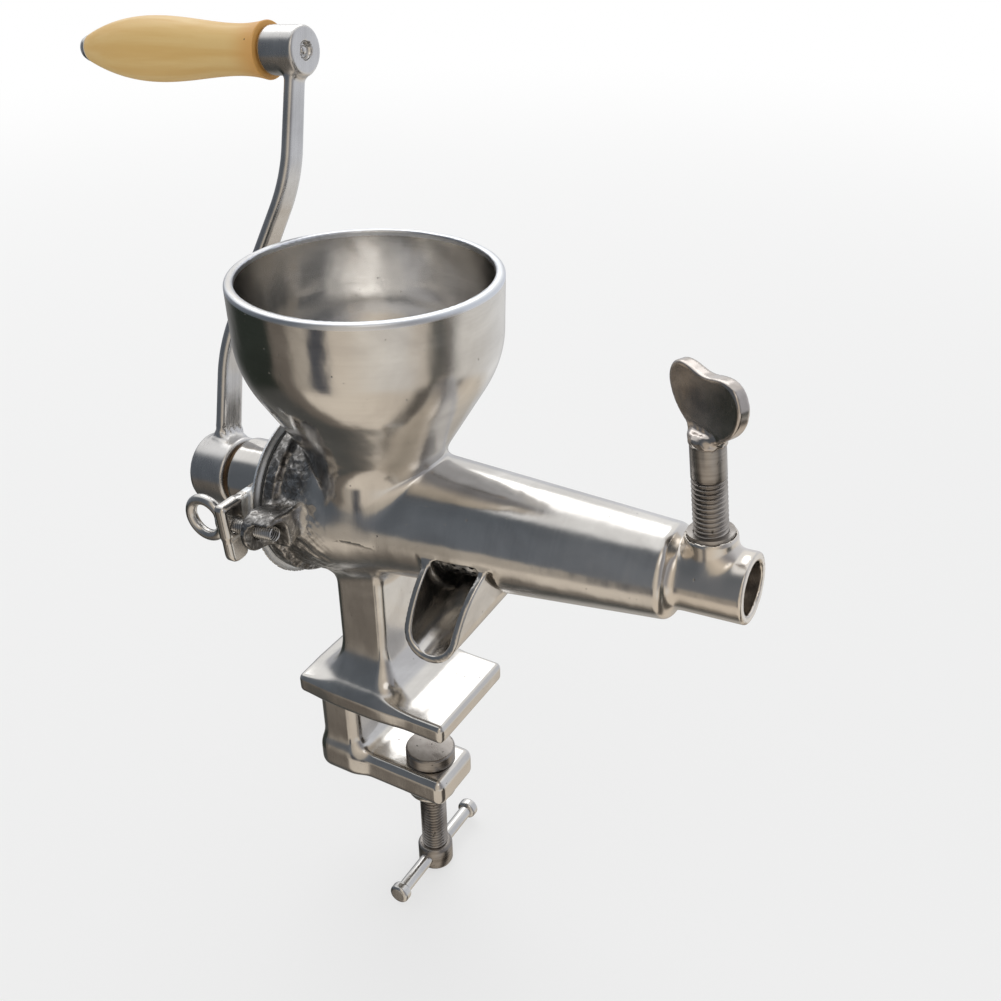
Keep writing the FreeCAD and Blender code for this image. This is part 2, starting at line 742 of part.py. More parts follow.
def make_grip():
    """Turned grip that spins on a pin, with the cap nut that keeps it there."""
    outline = [
        (0.0, grip_collar_radius),
        (grip_waist_at, grip_waist_radius),
        (grip_belly_at, grip_belly_radius),
        (grip_length - grip_shoulder_back, grip_shoulder_radius),
        (grip_length, grip_end_radius),
    ]
    curve = Part.BSplineCurve()
    curve.interpolate([V(grip_front - at, 0, radius) for at, radius in outline])
    hole = grip_pin_radius + running_gap
    edges = [
        Part.makeLine(V(grip_front, 0, hole), V(grip_front, 0, grip_collar_radius)),
        curve.toShape(),
        Part.makeLine(V(grip_rear, 0, grip_end_radius), V(grip_rear, 0, hole)),
        Part.makeLine(V(grip_rear, 0, hole), V(grip_front, 0, hole)),
    ]
    grip = Part.Face(Part.Wire(edges)).revolve(V(0, 0, 0), V(1, 0, 0), 360)
    grip.translate(V(0, 0, arm_throw))
    save_on_barrel("wood_grip", swung(grip))
    nut_front = grip_rear - face_gap
    nut_rear = nut_front - cap_nut_length
    pin = rod(grip_pin_radius, nut_rear + cap_nut_wall, handle_boss_front, 0, arm_throw)
    dimple = Part.makeCone(0, pin_dimple_radius, pin_dimple_depth,
                           V(handle_boss_front - pin_dimple_depth, 0, arm_throw), V(1, 0, 0))
    save_on_barrel("grip_pin", swung(pin.cut(dimple)))
    nut = turned_x([
        (nut_front, 0, 0),
        (nut_front, cap_nut_radius, light_edge),
        (nut_rear, cap_nut_end_radius, cap_nut_round),
        (nut_rear, 0, 0),
    ])
    nut = nut.cut(rod(grip_pin_radius, nut_rear + cap_nut_wall, nut_front + over))
    nut.translate(V(0, 0, arm_throw))
    save_on_barrel("grip_cap_nut", swung(nut))


def barrel_skin_radius(x):
    """Outer radius of the barrel's taper at a place along it."""
    slope = (barrel_tip_radius - barrel_root_radius) / (barrel_tip_x - barrel_root_x)
    return barrel_root_radius + slope * (x - barrel_root_x)


def spout_section(y, left, right, floor, top):
    """U shaped section of the spout: two straight sides and a half round floor."""
    radius = (right - left) / 2
    middle = (left + right) / 2
    arc = Part.Arc(V(left, y, floor + radius), V(middle, y, floor), V(right, y, floor + radius)).toShape()
    return Part.Wire([
        Part.makeLine(V(left, y, top), V(left, y, floor + radius)),
        arc,
        Part.makeLine(V(right, y, floor + radius), V(right, y, top)),
        Part.makeLine(V(right, y, top), V(left, y, top)),
    ])


def spout_loft(inset, back_y, tip_y, top):
    """Tapering trough between its back and its tip, drawn in by an inset all round."""
    sections = []
    for y in (back_y, tip_y):
        share = (spout_back_y - y) / (spout_back_y + spout_reach)
        left = spout_back_left + (spout_tip_left - spout_back_left) * share
        right = spout_back_right + (spout_tip_right - spout_back_right) * share
        floor = spout_back_floor + (spout_tip_floor - spout_back_floor) * share
        sections.append(spout_section(y, left + inset, right - inset, floor + inset, top))
    return Part.makeLoft(sections, True, True)


spout_back_left = juice_slot_rear - spout_margin
spout_back_right = juice_slot_front + spout_margin
spout_tip_left = spout_tip_middle - spout_tip_width / 2
spout_tip_right = spout_tip_middle + spout_tip_width / 2
rise = math.radians(barrel_rise_deg)
barrel_underside = juice_slot_middle * math.sin(rise) - barrel_skin_radius(juice_slot_middle) * math.cos(rise)
spout_back_floor = barrel_underside - spout_back_drop
spout_tip_floor = spout_back_floor - spout_fall


def make_spout():
    """Open trough under the juice slot, cut back along its curved rim."""
    shell = spout_loft(0.0, spout_back_y, -spout_reach, spout_rim_top_z)
    hollow = spout_loft(spout_wall, spout_back_y - spout_wall, -spout_reach - over, spout_rim_top_z + over)
    rim_arc = Part.Arc(V(0, spout_rim_top_y, spout_rim_top_z), V(0, spout_rim_mid_y, spout_rim_mid_z),
                       V(0, -spout_reach, spout_tip_floor)).toShape()
    low = spout_tip_floor - over
    side = Part.Wire([
        rim_arc,
        Part.makeLine(V(0, -spout_reach, spout_tip_floor), V(0, -spout_reach, low)),
        Part.makeLine(V(0, -spout_reach, low), V(0, spout_back_y, low)),
        Part.makeLine(V(0, spout_back_y, low), V(0, spout_back_y, spout_rim_top_z)),
        Part.makeLine(V(0, spout_back_y, spout_rim_top_z), V(0, spout_rim_top_y, spout_rim_top_z)),
    ])
    kept = Part.Face(side)
    kept.translate(V(spout_back_left - over, 0, 0))
    kept = kept.extrude(V(spout_back_right - spout_back_left + 2 * over, 0, 0))
    spout = shell.cut(hollow).common(kept).cut(sloped(barrel_envelope()))
    save_upright("juice_spout", max(spout.Solids, key=lambda s: s.Volume))


def make_clamp_frame():
    """Column and C shaped clamp, one casting flared wide at the upper jaw."""
    flare_top = jaw_top + jaw_flare_height
    side = plate_xz([
        (column_rear, 0, 0),
        (column_front, 0, 0),
        (column_front, jaw_top, jaw_front_flare_round),
        (jaw_front, jaw_top, frame_edge_round),
        (jaw_front, seat_z, cast_edge),
        (clamp_throat_x, seat_z, throat_round),
        (clamp_throat_x, lower_jaw_top, throat_round),
        (clamp_screw_x + lower_jaw_half_width, lower_jaw_top, soft_edge),
        (clamp_screw_x + lower_jaw_half_width, lower_jaw_bottom, frame_edge_round),
        (jaw_rear, lower_jaw_bottom, frame_corner_round),
        (jaw_rear, jaw_top, frame_corner_round),
        (column_rear, flare_top, jaw_flare_round),
    ], -jaw_half_width, jaw_half_width)
    jaw_low = seat_z - throat_round
    neck_low = jaw_low - jaw_half_width + lower_jaw_half_width
    halves = [(column_half_width, 0, 0), (column_half_width, flare_top, jaw_flare_round),
              (jaw_half_width, jaw_top, jaw_side_round), (jaw_half_width, jaw_low, neck_top_round),
              (lower_jaw_half_width, neck_low, neck_bottom_round),
              (lower_jaw_half_width, lower_jaw_bottom, frame_edge_round)]
    front = plate_yz(halves + [(-y, z, r) for y, z, r in reversed(halves)], jaw_rear, jaw_front)
    frame = side.common(front)
    frame = frame.fuse(post(clamp_boss_radius, lower_jaw_bottom - clamp_boss_drop,
                            lower_jaw_top - frame_edge_round, clamp_screw_x))
    frame = frame.cut(post(clamp_screw_radius + running_gap, lower_jaw_bottom - clamp_boss_drop - over,
                           lower_jaw_top + over, clamp_screw_x))
    frame = frame.cut(sloped(barrel_envelope()))
    save_upright("clamp_frame", max(frame.Solids, key=lambda s: s.Volume).removeSplitter())


def make_clamp_screw():
    """Screw with a loose pad on its tip and a sliding bar through its head."""
    pad = post(pad_radius, pad_bottom, pad_bottom + pad_height, clamp_screw_x)
    rims = [e for e in pad.Edges if e.Curve.TypeId == "Part::GeomCircle"]
    pad = pad.makeFillet(cast_edge, rims)
    pad = pad.cut(post(clamp_tip_radius + running_gap, pad_bottom - over,
                       pad_bottom + clamp_tip_length, clamp_screw_x))
    save_upright("swivel_pad", pad)
    shoulder = pad_bottom - face_gap
    end = shoulder - clamp_screw_length
    screw = post(clamp_screw_radius, end, shoulder, clamp_screw_x)
    screw = screw.fuse(post(clamp_tip_radius, shoulder, shoulder + clamp_tip_length, clamp_screw_x))
    head = post(clamp_head_radius, end - clamp_head_height, end, clamp_screw_x)
    rims = [e for e in head.Edges if e.Curve.TypeId == "Part::GeomCircle"]
    head = head.makeFillet(soft_edge, rims)
    bar_z = end - clamp_head_height / 2
    bar_end = V(clamp_screw_x, -bar_half_length, bar_z)
    bar = Part.makeCylinder(bar_radius, 2 * bar_half_length, bar_end, V(0, 1, 0))
    hole = Part.makeCylinder(bar_radius + running_gap, 2 * bar_half_length, bar_end, V(0, 1, 0))
    save_upright("clamp_screw", screw.fuse(head).cut(hole).removeSplitter())
    save_upright("tommy_bar", bar)
    knobs = []
    for side in (-1, 1):
        knob = Part.makeCylinder(bar_knob_radius, bar_knob_length,
                                 V(clamp_screw_x, side * bar_half_length, bar_z), V(0, side, 0))
        rims = [e for e in knob.Edges if e.Curve.TypeId == "Part::GeomCircle"]
        knobs.append(knob.makeFillet(soft_edge, rims))
    save_upright("bar_knobs", Part.makeCompound(knobs))


make_hopper()
make_barrel()
make_nozzle()
make_pressure_screw()
make_strainer()
make_auger()
make_cover()
make_lugs()
make_eye_screws()
make_crank()
make_grip()
make_spout()
make_clamp_frame()
make_clamp_screw()
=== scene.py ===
"""Looks of a hand cranked wheatgrass juicer with a clamp foot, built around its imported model.

Sizes are millimetres about the crossing of the hopper's axis and the barrel's axis, and
become metres when a mesh is made. The barrel rises towards its nozzle, so its pieces are
drawn about a level axis and set on the slope.
"""
import math
import bpy
import numpy as np
from mathutils import Matrix, Vector


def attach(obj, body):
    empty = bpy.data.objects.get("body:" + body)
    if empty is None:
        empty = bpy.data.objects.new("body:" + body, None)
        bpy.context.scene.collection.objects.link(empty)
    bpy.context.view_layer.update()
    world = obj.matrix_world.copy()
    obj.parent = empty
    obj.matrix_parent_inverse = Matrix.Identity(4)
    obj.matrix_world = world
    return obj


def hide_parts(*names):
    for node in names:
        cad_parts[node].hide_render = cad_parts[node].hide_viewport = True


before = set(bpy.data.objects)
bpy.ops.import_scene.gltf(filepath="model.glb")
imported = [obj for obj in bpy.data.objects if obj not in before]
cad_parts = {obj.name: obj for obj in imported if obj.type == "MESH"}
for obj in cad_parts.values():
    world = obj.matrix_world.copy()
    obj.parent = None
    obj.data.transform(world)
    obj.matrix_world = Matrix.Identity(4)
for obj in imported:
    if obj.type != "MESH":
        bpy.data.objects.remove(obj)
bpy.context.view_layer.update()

MM = 0.001
PICTURE = 1001              # side of the square picture, in pixels

# Stance
axis_height = 91.0
barrel_rise = math.radians(4.0)
crank_rest = math.radians(17.2)
screw_lean = math.radians(3.0)
seat_z = -axis_height

# Camera
camera_place = (239.9, -323.14, 330.97)
camera_yaw = math.radians(-29.86)
camera_pitch = math.radians(30.87)
camera_roll = math.radians(0.63)
camera_focal = 1171.54      # pixels
sensor_width = 36.0

# Hopper: height, radius and half length of the bend at each corner
hopper_wall = 3.5
hopper_rim_height = 96.7
throat_outside = 26.4
bowl_outside = 49.4
rim_outside = 50.0
throat_inside, bowl_inside, rim_inside = [r - hopper_wall for r in (throat_outside, bowl_outside, rim_outside)]
hopper_line = [(0, throat_outside, 0), (26.5, throat_outside, 6.0), (65.0, bowl_outside, 10.0),
               (hopper_rim_height, rim_outside, 0)]
hollow_line = [(0, throat_inside, 0), (27.6, throat_inside, 7.0), (66.1, bowl_inside, 9.0),
               (hopper_rim_height, rim_inside, 0)]
hopper_throat_floor = 3.0
rim_round = 1.8

# Barrel: place along it, radius and half length of the bend at each corner
flange_rear = -34.0
flange_front = -28.0
flange_radius = 32.98
barrel_tip_x = 125.5
chamber_radius = 30.48
bore_end = 121.5
barrel_line = [(flange_rear, chamber_radius, 0), (-14.0, chamber_radius, 8.0), (8.0, 26.2, 8.0),
               (barrel_tip_x, 17.35, 0)]
bore_line = [(flange_rear, 24.98, 0), (bore_end, 13.26, 0)]
slot_low = (37.5, -34.0, -34.0)
slot_high = (62.5, 8.0, -3.5)
rough_front = -6.0           # the skin is as cast behind this place
rough_lumps = ((12.0, 0.30), (5.3, 0.12))       # size and height

# Nozzle and pressure screw
nozzle_radius = 12.7
nozzle_bore = 9.5
nozzle_end_x = 152.8
screw_x = 138.5
screw_radius = 6.1
screw_pitch = 1.75
screw_foot = 6.6
screw_thread_top = 40.0
screw_top = 51.0
boss_radius = 9.3
boss_top = 18.8
ring_radius = 8.2
ring_sunk = 1.2
thread_gap = 0.1             # between a screw and its hole
wing_bottom = 55.0
wing_top = 81.8
wing_half_width = 17.6
wing_side_low = 62.5
wing_neck_half = 6.5
wing_notch_z = 76.2
wing_thickness = 5.0
wing_offset = 1.3
wing_tilt = 0.075            # rise of the rear shoulder over the front one
wing_turn = math.radians(30.0)
collar_radius = 6.6
collar_lumps = (5.5, 0.22)   # size and height

# Lugs and eye screws
eye_y = 41.48
eye_z = 4.0
lug_radius = 8.0
lug_rear = -31.0
lug_front = -17.0
eye_ring_x = -54.2
eye_ring_radius = 7.9
eye_wire_radius = 2.2
eye_screw_radius = 3.0
eye_screw_end = -20.0
pocket_low = (-27.8, -3.5, eye_z - 16.0)
pocket_high = (-9.0, 16.0, eye_z + 5.6)

# Spout: values at its back and at its tip
spout_wall = 2.9
spout_y = (12.0, -41.5)
spout_left = (34.3, 34.95)
spout_right = (65.7, 57.45)
spout_floor = (-21.5, -33.2)
spout_rim = ((-19.0, 1.0), (-35.5, -14.5), (-41.5, -33.2))

# Rear cover
cover_front = -35.0
cover_rear = -39.5
ear_rear = -44.0
cover_flare_radius = 25.0
bearing_boss_radius = 16.0
bearing_boss_end = -67.0
cover_bore = 10.55
ear_tip = 46.98
ear_top = 13.5

# Crank
hub_front = -70.7
hub_rear = -88.7
hub_radius = 15.2
arm_throw = 170.0
arm_root_x = -80.7
arm_tip_x = -51.7
arm_bend = 12.0
arm_line = [(0, arm_root_x, 0), (53.0, arm_root_x, arm_bend), (122.0, arm_tip_x, arm_bend),
            (arm_throw, arm_tip_x, 0)]
arm_half_thickness = 2.5
arm_half_width = (6.75, 4.5)
handle_front = -46.5
handle_rear = -64.0
handle_radius = 9.3
grip_front = -64.3
grip_length = 96.5
grip_stations = [(0.0, 11.1), (20.0, 9.9), (55.0, 12.8), (81.0, 10.6), (96.5, 5.9)]
pin_radius = 3.5
nut_radius = 5.6
nut_length = 4.5

# Clamp
column_low, column_high = (-16.0, -15.0, -86.0), (7.0, 15.0, -12.0)
foot_low, foot_high = (-33.0, -25.0, -91.0), (40.0, 25.0, -82.0)
spine_low, spine_high = (-33.0, -14.0, -141.0), (-13.0, 14.0, -84.0)
lower_jaw_low, lower_jaw_high = (-33.0, -14.0, -141.0), (31.0, 14.0, -127.0)
clamp_x = 17.0
clamp_boss_radius = 11.0
clamp_boss_bottom = -145.0
clamp_screw_radius = 6.0
clamp_thread_low, clamp_thread_high = -88.0, -35.7
clamp_head_bottom = -100.0
clamp_head_radius = 8.0

# Boxes that hold the skins, and the step of their grids
casting_box, casting_step = ((-60, -52.5, -147), (156, 52.5, 99)), 0.9
cover_box, cover_step = ((-69, -49, -35), (-33, 49, 35)), 0.8
crank_box, crank_step = ((-91, -17, -17), (-44, 17, 181)), 0.8
wing_box, wing_step = ((-19, -19, 49), (19, 19, 82)), 0.7
eye_box, eye_step = ((-66, -4, -12), (-40, 4, 12)), 0.5

# Local frames of the pieces, in metres
UPRIGHT = Matrix.Translation((0, 0, axis_height * MM))
ON_BARREL = UPRIGHT @ Matrix.Rotation(-barrel_rise, 4, "Y")
ON_CRANK = ON_BARREL @ Matrix.Rotation(-crank_rest, 4, "X")
ON_SCREW = ON_BARREL @ Matrix.Translation((screw_x * MM, 0, 0)) @ Matrix.Rotation(-screw_lean, 4, "Y")


# Implicit surfaces: each field is about the distance outside the shape, in millimetres
def join(a, b, blend):
    """Union of two fields with a fillet."""
    share = np.clip(0.5 + 0.5 * (b - a) / blend, 0, 1)
    return b * (1 - share) + a * share - blend * share * (1 - share)


def keep(a, b, blend):
    """Common part of two fields with a rounded edge."""
    return -join(-a, -b, blend)


def cut(a, b, blend):
    """Field a with b taken away and a rounded edge."""
    return -join(-a, b, blend)


def bent_line(t, corners):
    """Value and slope at t of straight stretches through corners (t, value, half length of bend)."""
    slope = (corners[1][1] - corners[0][1]) / (corners[1][0] - corners[0][0])
    value = corners[0][1] + slope * (t - corners[0][0])
    steep = np.full_like(value, slope)
    for before, here, after in zip(corners, corners[1:], corners[2:]):
        turn = (after[1] - here[1]) / (after[0] - here[0]) - (here[1] - before[1]) / (here[0] - before[0])
        past = t - here[0]
        share = np.clip(past / here[2], -1, 1)
        value = value + turn * np.where(past > here[2], past, here[2] * (share + 1) ** 2 / 4)
        steep = steep + turn * (share + 1) / 2
    return value, steep


def lathe_field(along, around, corners):
    """Solid of revolution whose radius follows a bent line."""
    radius, slope = bent_line(along, corners)
    return (around - radius) / np.sqrt(1 + slope ** 2)


def slab(x, y, z, low, high, edge):
    """Block with rounded edges."""
    gaps = [np.abs(p - (a + b) / 2) - (b - a) / 2 + edge for p, a, b in zip((x, y, z), low, high)]
    outside = np.sqrt(sum(np.maximum(g, 0) ** 2 for g in gaps))
    return outside + np.minimum(np.maximum.reduce(gaps), 0) - edge


def rod(along, around, low, high, radius, edge):
    """Round bar with rounded rims."""
    return keep(around - radius, np.abs(along - (low + high) / 2) - (high - low) / 2, edge)


def slope_frame(x, z):
    """Barrel coordinates of an upright place."""
    c, s = math.cos(barrel_rise), math.sin(barrel_rise)
    return x * c + z * s, z * c - x * s


def ripple(x, y, z, size):
    """Smooth uneven field between about -1 and 1, with lumps of a size."""
    k = 2 * math.pi / size
    return (np.sin(k * (x + 0.6 * y) + 1.3) * np.sin(k * (0.9 * y - 0.4 * z) + 0.7)
            + np.sin(k * 1.7 * (0.8 * z + 0.5 * x) + 2.1) * np.sin(k * 1.4 * (y - 0.3 * x) + 0.2)) / 1.6


def circle_through(points):
    """Centre and radius of the circle through three points."""
    (ax, ay), (bx, by), (cx, cy) = points
    d = 2 * (ax * (by - cy) + bx * (cy - ay) + cx * (ay - by))
    sa, sb, sc = ax * ax + ay * ay, bx * bx + by * by, cx * cx + cy * cy
    ux = (sa * (by - cy) + sb * (cy - ay) + sc * (ay - by)) / d
    uy = (sa * (cx - bx) + sb * (ax - cx) + sc * (bx - ax)) / d
    return ux, uy, math.hypot(ax - ux, ay - uy)


def spout_field(x, y, z):
    """Open trough with a rolled rim."""
    share = (spout_y[0] - y) / (spout_y[0] - spout_y[1])
    left, right, floor = [a + (b - a) * share for a, b in (spout_left, spout_right, spout_floor)]
    half = (right - left) / 2
    sideways = np.abs(x - (left + right) / 2)
    under = np.minimum(z - floor - half, 0)
    trough = np.hypot(sideways, under) - half
    rim_y, rim_z, rim_radius = circle_through(spout_rim)
    shell = keep(trough, np.hypot(y - rim_y, z - rim_z) - rim_radius, 1.0)
    shell = keep(shell, y - spout_y[0], 2.0)
    shell = keep(shell, z - 1.0, 2.0)
    hollow = keep(trough + spout_wall, y - (spout_y[0] - spout_wall), 3.0)
    return cut(shell, hollow, 1.0)


def lug_field(xb, y, zb):
    """Tapped lug with its web to the casting, and a pocket in its front."""
    out = np.abs(y) - eye_y
    lug = rod(xb, np.hypot(out, zb - eye_z), lug_rear, lug_front, lug_radius, 2.0)
    web = slab(xb, np.abs(y), zb, (lug_rear, 22.0, eye_z - 6.0), (lug_front, eye_y, eye_z + 7.0), 2.0)
    lug = join(lug, web, 3.0)
    lug = cut(lug, slab(xb, out, zb, pocket_low, pocket_high, 4.6), 1.0)
    return cut(lug, np.hypot(out, zb - eye_z) - eye_screw_radius - thread_gap, 0.3)


def casting_field(x, y, z):
    """Hopper, barrel, nozzle, spout, lugs and clamp frame, welded and ground into one."""
    xb, zb = slope_frame(x, z)
    about_hopper, about_barrel = np.hypot(x, y), np.hypot(y, zb)
    hopper = keep(lathe_field(z, about_hopper, hopper_line), z - hopper_rim_height, rim_round)
    hopper = np.maximum(hopper, -z)
    barrel = keep(lathe_field(xb, about_barrel, barrel_line), xb - barrel_tip_x, 2.4)
    barrel = keep(barrel, flange_rear - xb, 0.6)
    flange = rod(xb, about_barrel, flange_rear, flange_front, flange_radius, 1.4)
    barrel = join(barrel, flange, 2.0)
    rough = np.clip((rough_front - xb) / 8.0, 0, 1) * np.clip((xb - flange_rear - 2.0) / 3.0, 0, 1)
    rough = rough * np.clip((36.0 - np.abs(z - 4)) / 8.0, 0, 1)
    (broad, broad_height), (small, small_height) = rough_lumps
    barrel = barrel + rough * (broad_height * ripple(x, y, z, broad) + small_height * ripple(y, z, x, small))
    barrel = join(barrel, lug_field(xb, y, zb), 3.5)
    slot = slab(xb, y, zb, slot_low, slot_high, 1.0)
    column = slab(x, y, z, column_low, column_high, 3.5)
    foot = slab(x, y, z, foot_low, foot_high, 2.5)
    foot = keep(join(column, foot, 22.0), seat_z - z, 0.8)
    body = join(hopper, barrel, 3.2)
    body = join(body, foot, 6.0)
    body = cut(body, slot, 0.6)
    nozzle = rod(xb, about_barrel, bore_end, nozzle_end_x, nozzle_radius, 1.0)
    lean_x = (xb - screw_x) * math.cos(screw_lean) + zb * math.sin(screw_lean)
    lean_z = zb * math.cos(screw_lean) - (xb - screw_x) * math.sin(screw_lean)
    about_screw = np.hypot(lean_x, y)
    boss = rod(lean_z, about_screw, 0.0, boss_top, boss_radius, 1.8)
    body = join(join(body, nozzle, 5.5), join(nozzle, boss, 4.0), 0.5)
    body = join(body, spout_field(x, y, z), 3.0)
    about_clamp = np.hypot(x - clamp_x, y)
    spine = slab(x, y, z, spine_low, spine_high, 5.0)
    jaw = join(spine, slab(x, y, z, lower_jaw_low, lower_jaw_high, 4.0), 8.0)
    jaw = join(jaw, rod(z, about_clamp, clamp_boss_bottom, -130.0, clamp_boss_radius, 1.2), 3.0)
    body = join(body, jaw, 5.0)
    hollow = np.maximum(lathe_field(z, about_hopper, hollow_line), hopper_throat_floor - z)
    body = cut(body, hollow, 0.7)
    bore = np.maximum(lathe_field(xb, about_barrel, bore_line), xb - bore_end)
    body = cut(body, bore, 0.5)
    body = cut(body, np.maximum(about_barrel - nozzle_bore, bore_end - 1.0 - xb), 0.8)
    body = cut(body, np.maximum(about_screw - screw_radius - thread_gap, -lean_z), 0.4)
    body = cut(body, np.maximum(about_screw - ring_radius, boss_top - ring_sunk - lean_z), 0.7)
    thread = about_clamp - clamp_screw_radius - thread_gap
    return cut(body, np.maximum(thread, z - lower_jaw_high[2] - 5.0), 0.8)


def cover_field(x, y, z):
    """Rear cover in barrel coordinates: disc, flare, bearing boss and two ears."""
    around = np.hypot(y, z)
    disc = rod(x, around, cover_rear, cover_front, flange_radius, 1.6)
    flare_line = [(bearing_boss_end, bearing_boss_radius, 0), (-47.5, bearing_boss_radius, 4.0),
                  (-39.0, cover_flare_radius + 1.0, 2.0), (-36.0, 36.0, 0)]
    boss = keep(lathe_field(x, around, flare_line), bearing_boss_end - x, 1.2)
    boss = keep(boss, x + 36.0, 0.4)
    out = np.abs(y)
    bar = slab(x, out, z, (ear_rear, 0.0, -1.0), (cover_rear + 0.5, ear_tip, ear_top), 1.8)
    tab = slab(x, out, z, (ear_rear, ear_tip - 11.0, -12.5), (cover_rear, ear_tip, ear_top), 2.0)
    tab = keep(tab, np.hypot(out - ear_tip + 5.5, np.minimum(z + 6.5, 0)) - 5.8, 1.2)
    ear = join(bar, tab, 2.0)
    ear = cut(ear, np.hypot(out - eye_y, z - eye_z) - eye_screw_radius - 0.3, 0.4)
    body = join(join(disc, boss, 1.5), ear, 2.5)
    return cut(body, around - cover_bore, 0.5)


def crank_field(x, y, z):
    """Hub, bent arm and handle boss in crank coordinates, with their weld fillets."""
    hub = rod(x, np.hypot(y, z), hub_rear, hub_front, hub_radius, 1.8)
    middle, slope = bent_line(z, arm_line)
    half_width = arm_half_width[0] + (arm_half_width[1] - arm_half_width[0]) * z / arm_throw
    face = np.abs(x - middle) / np.sqrt(1 + slope ** 2) - arm_half_thickness
    arm = keep(face, np.abs(y) - half_width, 2.6)
    arm = keep(arm, np.abs(z - arm_throw / 2) - arm_throw / 2 + 6.0, 1.0)
    boss = rod(x, np.hypot(y, z - arm_throw), handle_rear, handle_front, handle_radius, 1.8)
    bead = 0.35 * ripple(x, y, z, 5.0) * np.exp(-((z - hub_radius - 1.0) / 3.0) ** 2)
    body = join(join(arm + bead, hub, 4.5), boss, 3.0)
    return cut(body, np.hypot(y, z - arm_throw) - pin_radius, 0.3)


def wing_field(x, y, z):
    """Cast wing with two round shoulders over its neck, and the weld collar under it."""
    c, s = math.cos(wing_turn), math.sin(wing_turn)
    along, across = x * c - y * s - wing_offset, y * c + x * s
    z = z + wing_tilt * along
    along = np.abs(along)
    soft = np.sqrt(along ** 2 + 16.0) - 4.0
    rise = math.atan2(wing_top - wing_notch_z, wing_half_width)
    top = (z - wing_notch_z) * math.cos(rise) - soft * math.sin(rise)
    low = math.atan2(wing_side_low - wing_bottom, wing_half_width - wing_neck_half)
    under = (along - wing_neck_half) * math.sin(low) - (z - wing_bottom) * math.cos(low)
    outline = keep(keep(along - wing_half_width, top, 13.0), under, 8.0)
    plate = keep(outline, np.abs(across) - wing_thickness / 2, 1.1)
    plate = keep(plate, wing_bottom + 0.3 - z, 0.8)
    collar = rod(z, np.hypot(x, y), screw_top, wing_bottom + 1.0, collar_radius, 2.4)
    lump, lump_height = collar_lumps
    return join(plate, collar + lump_height * ripple(x, y, z, lump), 2.6)


def eye_ring_field(x, y, z):
    """Wire ring of an eye screw and the start of its shank."""
    ring = np.hypot(np.hypot(x - eye_ring_x, z) - eye_ring_radius, y) - eye_wire_radius
    root_start, root_end = eye_ring_x + eye_ring_radius - 1.0, eye_ring_x + 11.5
    root = rod(x, np.hypot(y, z), root_start, root_end, eye_screw_radius - 0.2, 0.4)
    return join(ring, root, 1.6)


def gradient(field, points, reach=0.05):
    """Slope of a field at points, by central differences."""
    steps = np.eye(3) * reach
    return np.stack([field(*(points + s).T) - field(*(points - s).T) for s in steps], 1) / (2 * reach)


def drawn_onto(field, points, rounds):
    """Points moved along the gradient until they lie on the surface."""
    for _ in range(rounds):
        slope = gradient(field, points)
        size = np.maximum((slope ** 2).sum(1), 0.05)
        points = points - np.clip(field(*points.T) / size, -1.0, 1.0)[:, None] * slope
    return points


def net(field, low, high, step):
    """Points and quads of a field's surface: one point in each grid cell that it passes through."""
    block = 4
    low = np.array(low, float)
    blocks = np.ceil((np.array(high) - low) / (step * block)).astype(int)
    centres = low + (np.indices(blocks).reshape(3, -1).T + 0.5) * step * block
    coarse = field(*centres.T).reshape(blocks)
    near = np.abs(coarse) < 1.3 * step * block      # past a block's corner from its centre
    for axis in range(3):
        near = np.repeat(near, block, axis)
        coarse = np.repeat(coarse, block, axis)
    places = np.argwhere(near)
    coarse[near] = field(*(low + places * step).T)
    inside = coarse < 0
    corners = sum(inside[i:i - 1 or None, j:j - 1 or None, k:k - 1 or None].astype(np.int8)
                  for i in (0, 1) for j in (0, 1) for k in (0, 1))
    cells = np.argwhere((corners > 0) & (corners < 8))
    number = np.full(corners.shape, -1, np.int64)
    number[tuple(cells.T)] = np.arange(len(cells))
    total, weight = np.zeros((len(cells), 3)), np.zeros(len(cells))
    for axis in range(3):
        u, v = [a for a in range(3) if a != axis]
        for i in (0, 1):
            for j in (0, 1):
                start = cells.copy()
                start[:, u] += i
                start[:, v] += j
                end = start.copy()
                end[:, axis] += 1
                a, b = coarse[tuple(start.T)], coarse[tuple(end.T)]
                crossed = (a < 0) != (b < 0)
                place = start.astype(float)
                place[:, axis] += np.where(crossed, a / np.where(crossed, a - b, 1), 0)
                total[crossed] += place[crossed]
                weight[crossed] += 1
    points = low + total / weight[:, None] * step
    quads = []
    for axis in range(3):
        u, v = (axis + 1) % 3, (axis + 2) % 3
        first = np.moveaxis(inside, (axis, u, v), (0, 1, 2))
        numbers = np.moveaxis(number, (axis, u, v), (0, 1, 2))
        crossing = first[:-1, 1:-1, 1:-1] != first[1:, 1:-1, 1:-1]
        at = np.argwhere(crossing)
        ring = [numbers[at[:, 0], at[:, 1] + i, at[:, 2] + j] for i, j in ((0, 0), (1, 0), (1, 1), (0, 1))]
        quad = np.stack(ring, 1)
        outward = first[:-1, 1:-1, 1:-1][crossing]
        quads.append(np.where(outward[:, None], quad, quad[:, ::-1]))
    return points, np.concatenate(quads)


def relaxed(points, quads):
    """Points moved halfway to the middle of their neighbours."""
    total, count = np.zeros_like(points), np.zeros(len(points))
    for i in range(4):
        for j in (i - 1, (i + 1) % 4):
            np.add.at(total, quads[:, i], points[quads[:, j]])
            np.add.at(count, quads[:, i], 1)
    return (points + total / count[:, None]) / 2


def placed(name, mesh, place, body, material):
    """Mesh as a piece of the scene that rides a body."""
    piece = bpy.data.objects.new(name, mesh)
    bpy.context.scene.collection.objects.link(piece)
    piece.matrix_world = place
    piece.data.materials.append(material)
    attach(piece, body)
    return piece


